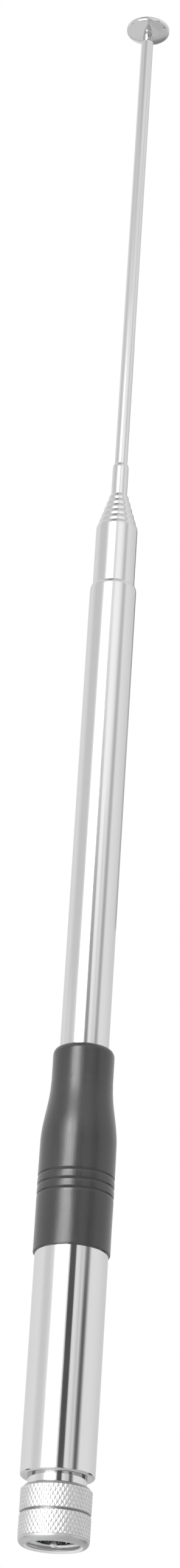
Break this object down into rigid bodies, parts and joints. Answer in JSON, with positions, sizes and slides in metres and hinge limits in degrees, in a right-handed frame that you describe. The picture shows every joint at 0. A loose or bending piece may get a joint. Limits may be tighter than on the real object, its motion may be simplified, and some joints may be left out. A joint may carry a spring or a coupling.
{
  "type": "telescopic whip antenna",
  "caption": "Chromed telescopic whip antenna on a knurled threaded coax plug, with a coil barrel, a black shrink boot and a flat button tip.",
  "frame": {"origin": "on the mast's axis, in the plane of the coupling nut's mouth, where the mating jack enters", "axes": "+Z along the mast from the plug to the tip button; the part is round, so X and Y are free, and X lies along the insulator's two lock pins"},
  "size_m": [0.0152, 0.0152, 0.3468],
  "materials": {
    "chrome": "bright chromium plate on brass, with fine lengthwise wipe marks",
    "chromed_nut": "bright plate over diamond knurling",
    "black_shrink": "semi-matt black shrink sleeve",
    "black_acetal": "turned black acetal",
    "ptfe": "turned white PTFE",
    "brass": "bare turned brass",
    "bronze": "bare phosphor bronze strip",
    "silvered_pin": "silver plate on brass",
    "silvered_copper": "silver-plated copper wire",
    "steel": "ground steel",
    "grey_rubber": "moulded rubber"
  },
  "bodies": {
    "base": {"connector_body": "chrome", "centre_pin": "silvered_pin", "pin_insulator": "ptfe", "jack_gasket": "grey_rubber", "thrust_washer": "brass", "base_plug": "chrome", "seal_ring": "grey_rubber", "base_barrel": "chrome", "coil_former": "ptfe", "matching_coil": "silvered_copper", "mast_insulator": "black_acetal", "insulator_pins": "steel", "mast_plug": "brass", "mast_cushion": "grey_rubber", "shrink_boot": "black_shrink", "section_1_tube": "chrome"},
    "nut": {"coupling_nut": "chromed_nut"},
    "section_2": {"section_2_tube": "chrome", "section_2_bush": "brass", "section_2_spring": "bronze"},
    "section_3": {"section_3_tube": "chrome", "section_3_bush": "brass", "section_3_spring": "bronze"},
    "section_4": {"section_4_tube": "chrome", "section_4_bush": "brass", "section_4_spring": "bronze"},
    "section_5": {"section_5_tube": "chrome", "section_5_bush": "brass", "section_5_spring": "bronze"},
    "section_6": {"section_6_tube": "chrome", "section_6_bush": "brass", "section_6_spring": "bronze"},
    "section_7": {"section_7_tube": "chrome", "section_7_bush": "brass", "section_7_spring": "bronze"},
    "section_8": {"section_8_tube": "chrome", "section_8_bush": "brass", "section_8_spring": "bronze"},
    "tip": {"tip_rod": "chrome", "tip_bush": "brass", "tip_spring": "bronze", "tip_button": "chrome"}
  },
  "joints": [
    {"name": "nut_spin", "type": "hinge", "parent": "base", "child": "nut", "pos_m": [0, 0, 0], "axis": [0, 0, 1], "continuous": true},
    {"name": "section_2_slide", "type": "slide", "parent": "base", "child": "section_2", "axis": [0, 0, 1], "range_m": [-0.0131, 0.1135]},
    {"name": "section_3_slide", "type": "slide", "parent": "section_2", "child": "section_3", "axis": [0, 0, 1], "range_m": [0, 0.1281]},
    {"name": "section_4_slide", "type": "slide", "parent": "section_3", "child": "section_4", "axis": [0, 0, 1], "range_m": [0, 0.1296]},
    {"name": "section_5_slide", "type": "slide", "parent": "section_4", "child": "section_5", "axis": [0, 0, 1], "range_m": [0, 0.1311]},
    {"name": "section_6_slide", "type": "slide", "parent": "section_5", "child": "section_6", "axis": [0, 0, 1], "range_m": [0, 0.1326]},
    {"name": "section_7_slide", "type": "slide", "parent": "section_6", "child": "section_7", "axis": [0, 0, 1], "range_m": [0, 0.1341]},
    {"name": "section_8_slide", "type": "slide", "parent": "section_7", "child": "section_8", "axis": [0, 0, 1], "range_m": [-0.0061, 0.1295]},
    {"name": "tip_slide", "type": "slide", "parent": "section_8", "child": "tip", "axis": [0, 0, 1], "range_m": [-0.1118, 0.0253]}
  ]
}
